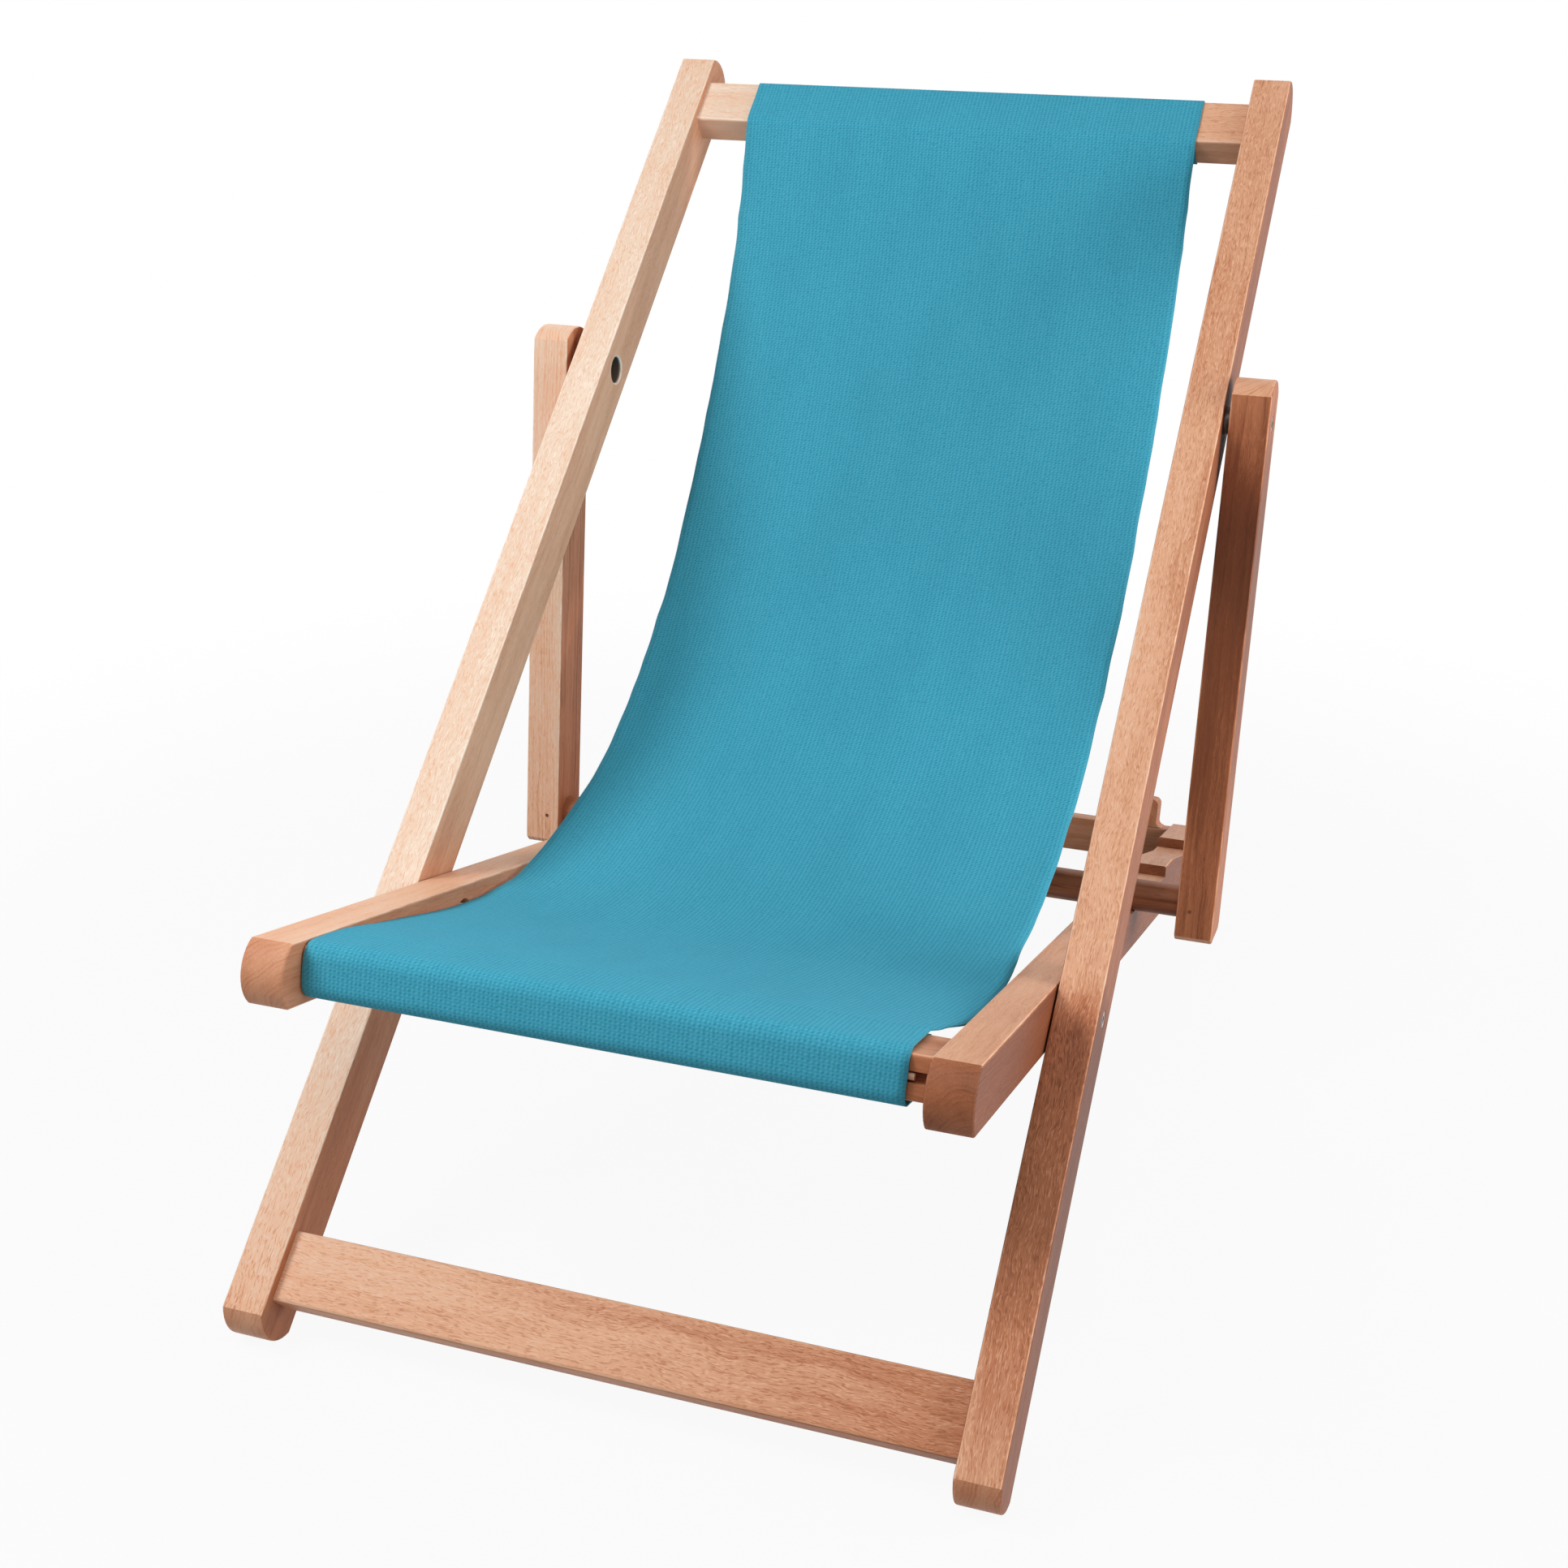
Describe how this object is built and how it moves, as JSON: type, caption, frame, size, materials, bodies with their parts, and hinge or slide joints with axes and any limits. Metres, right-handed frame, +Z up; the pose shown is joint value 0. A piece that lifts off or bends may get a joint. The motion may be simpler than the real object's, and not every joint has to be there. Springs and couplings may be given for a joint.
{
  "type": "deck chair",
  "caption": "Folding wooden deck chair: leaning outer frame, crossed seat frame with notched rails, hinged rear support with a dowel, and a hanging plain canvas sling seat.",
  "frame": {"origin": "floor level, middle of the chair's outline in plan", "axes": "+Z up, the chair faces -Y, +X towards the sitter's left hand"},
  "size_m": [0.58, 0.9888, 0.7417],
  "materials": {
    "beech": "smooth planed light beech with a thin clear finish",
    "canvas": "plain-weave teal cotton canvas, matte",
    "steel": "zinc-plated steel, satin"
  },
  "bodies": {
    "outer_frame": {"left_outer_rail": "beech", "right_outer_rail": "beech", "top_bar": "beech", "foot_board": "beech", "seat_pivot_bolts": "steel", "seat_pivot_nuts": "steel", "seat_pivot_washers": "steel", "strut_pivot_bolts": "steel", "strut_pivot_nuts": "steel", "strut_pivot_spacers": "steel", "sling": "canvas"},
    "seat_frame": {"left_seat_rail": "beech", "right_seat_rail": "beech", "front_bar": "beech", "rear_bar": "beech", "front_sling_rod": "beech", "left_stop_block": "beech", "right_stop_block": "beech"},
    "support_frame": {"left_strut": "beech", "right_strut": "beech", "strut_dowel": "beech", "dowel_brads": "steel"}
  },
  "joints": [
    {"name": "seat_fold", "type": "hinge", "parent": "outer_frame", "child": "seat_frame", "pos_m": [0, -0.24931, 0.21193], "axis": [1, 0, 0], "range_deg": [-117, 0], "deforming": ["sling"]},
    {"name": "strut_fold", "type": "hinge", "parent": "outer_frame", "child": "support_frame", "pos_m": [0, 0.11558, 0.52071], "axis": [1, 0, 0], "range_deg": [-23.5, 0]}
  ],
  "couplings": [
    {"joint": "strut_fold", "follows": "seat_fold", "ratio": 0.2}
  ]
}
